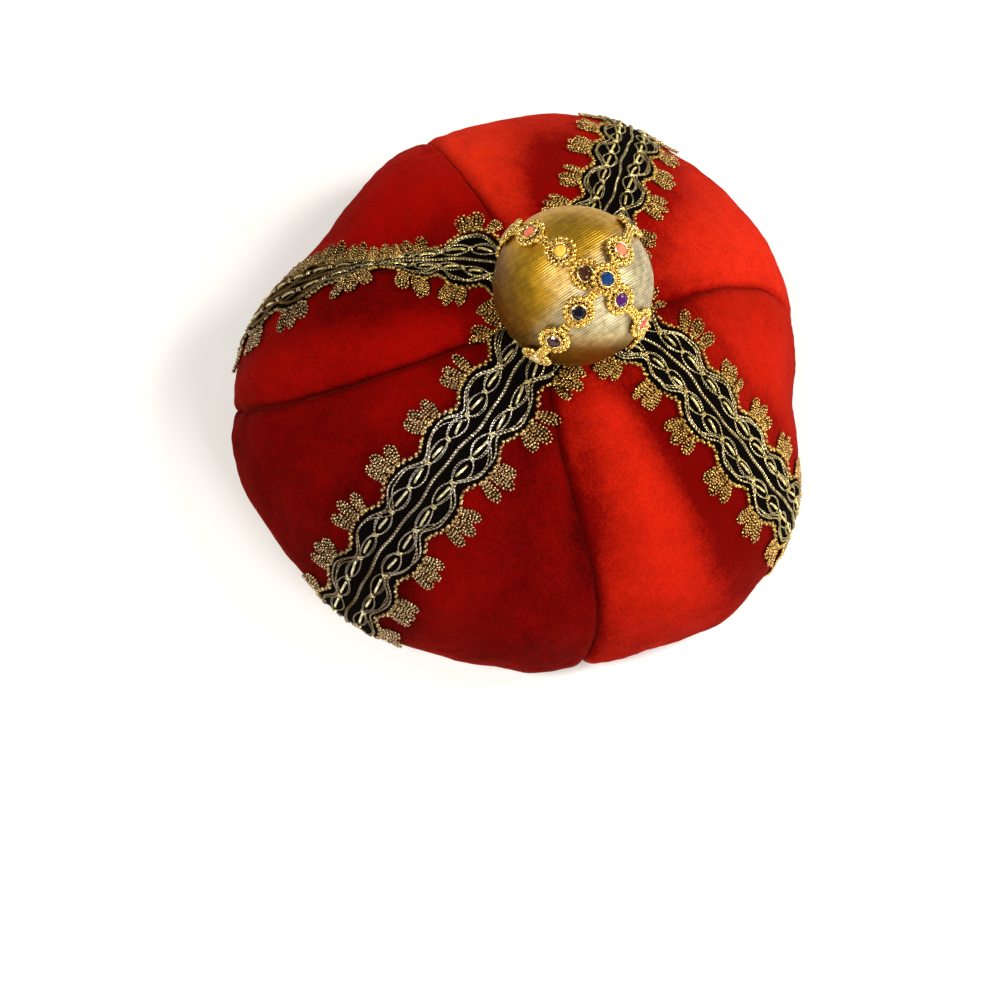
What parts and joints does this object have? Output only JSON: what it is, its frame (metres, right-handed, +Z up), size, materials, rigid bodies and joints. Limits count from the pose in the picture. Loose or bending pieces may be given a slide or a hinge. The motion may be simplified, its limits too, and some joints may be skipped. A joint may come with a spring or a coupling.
{
  "type": "costume crown",
  "caption": "Soft puffed costume crown: a velvet cap crossed by gilt braids, with a cloth-covered ball and jewelled trim on top.",
  "frame": {"origin": "below the middle of the whole crown, on the surface that it rests on", "axes": "+Z up out of the ball; -Y towards the front of the crown; +X to its right as seen from the front"},
  "size_m": [0.2456, 0.2646, 0.153],
  "materials": {
    "velvet": "red short-pile velvet",
    "gilt_braid": "black woven ground with gilt cord and picots",
    "gilt_cloth": "ribbed gilt metallic cloth",
    "gilt_metal": "beaded gilt metal",
    "stone_champagne": "faceted, foil backed",
    "stone_topaz": "faceted, foil backed",
    "stone_coral": "faceted, milky",
    "stone_amber": "faceted, foil backed",
    "stone_brown": "faceted, foil backed",
    "stone_purple": "faceted, foil backed",
    "stone_red": "faceted, foil backed",
    "stone_green": "faceted, foil backed",
    "stone_blue": "faceted, foil backed",
    "stone_black": "faceted, foil backed",
    "stone_garnet": "faceted, foil backed"
  },
  "bodies": {
    "root": {"velvet_gore_front": "velvet", "velvet_gore_right": "velvet", "velvet_gore_back": "velvet", "velvet_gore_left": "velvet", "braid_side_to_side": "gilt_braid", "braid_front_to_back": "gilt_braid", "ball": "gilt_cloth", "jewel_trim_side_to_side": "gilt_metal", "jewel_trim_front_to_back": "gilt_metal", "stone_left_clear": "stone_champagne", "stone_left_topaz": "stone_topaz", "stone_left_coral": "stone_coral", "stone_top_amber": "stone_amber", "stone_top_brown": "stone_brown", "stone_right_purple": "stone_purple", "stone_right_red": "stone_red", "stone_right_clear": "stone_champagne", "stone_back_topaz": "stone_topaz", "stone_back_green": "stone_green", "stone_back_coral": "stone_coral", "stone_top_blue": "stone_blue", "stone_front_black": "stone_black", "stone_front_garnet": "stone_garnet", "stone_front_clear": "stone_champagne"}
  },
  "joints": []
}
